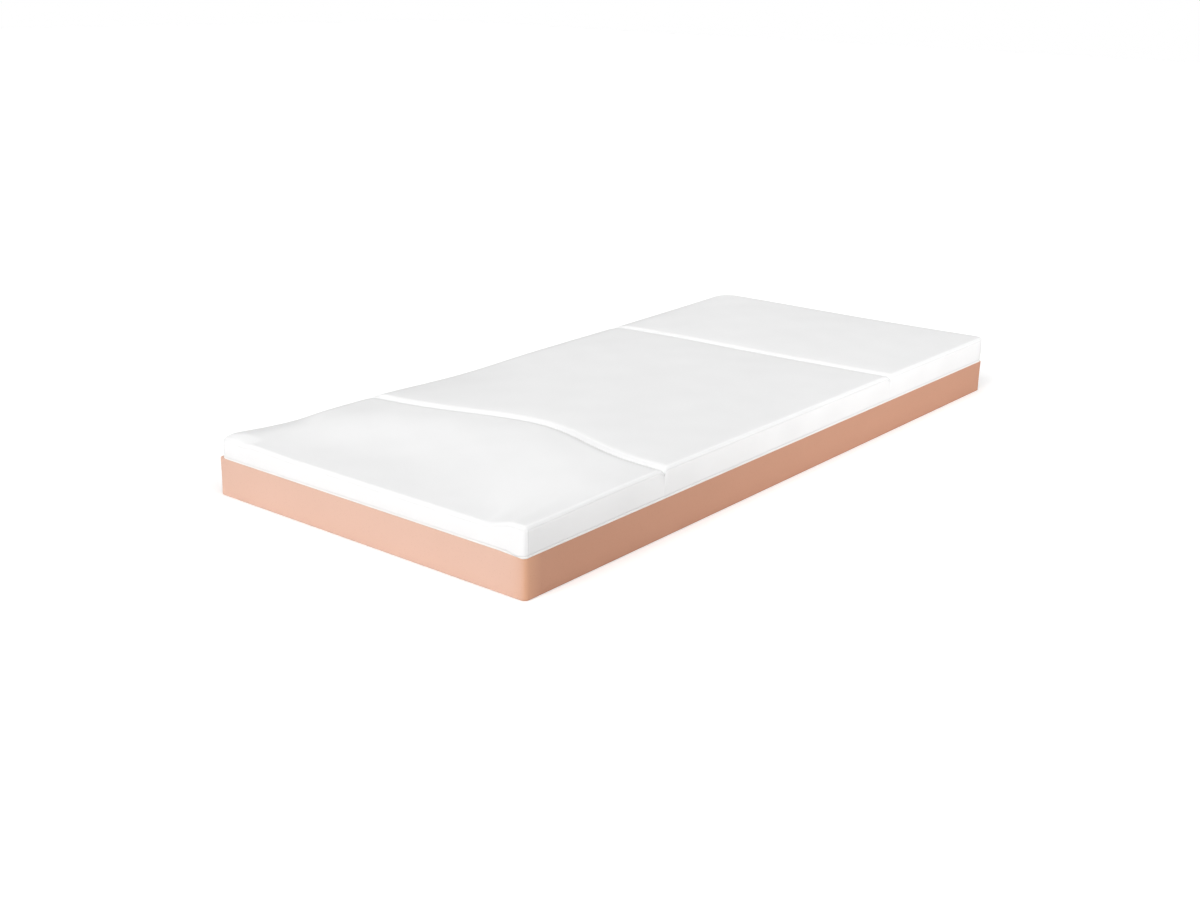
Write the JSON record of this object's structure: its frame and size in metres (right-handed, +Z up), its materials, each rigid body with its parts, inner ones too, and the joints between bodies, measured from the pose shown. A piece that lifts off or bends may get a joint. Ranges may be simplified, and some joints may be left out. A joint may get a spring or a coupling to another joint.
{
  "type": "mattress",
  "caption": "Single foam mattress: a plain firm base block under a loose covered topper whose top is parted into zones by a curved and a straight channel.",
  "frame": {"origin": "on the floor, under the middle of the mattress", "axes": "+X across the width towards the side seen in the picture, +Y along the length from the head end to the foot end, +Z up"},
  "size_m": [0.9024, 2.0024, 0.1542],
  "materials": {
    "base_foam": "matte",
    "knit_cover": "matte",
    "comfort_foam": "matte",
    "hem_tape": "matte",
    "inner_cloth": "matte"
  },
  "bodies": {
    "base": {"base_core": "base_foam"},
    "topper": {"head_panel": "knit_cover", "torso_panel": "knit_cover", "foot_panel": "knit_cover", "head_border": "knit_cover", "right_border": "knit_cover", "foot_border": "knit_cover", "left_border": "knit_cover", "hem_binding": "hem_tape", "head_pad": "comfort_foam", "torso_pad": "comfort_foam", "foot_pad": "comfort_foam", "underside_sheet": "inner_cloth", "bell_channel_tape": "inner_cloth", "straight_channel_tape": "inner_cloth"}
  },
  "joints": [
    {"name": "topper_lift", "type": "slide", "parent": "base", "child": "topper", "axis": [0, 0, 1], "range_m": [0, 0.2]}
  ]
}
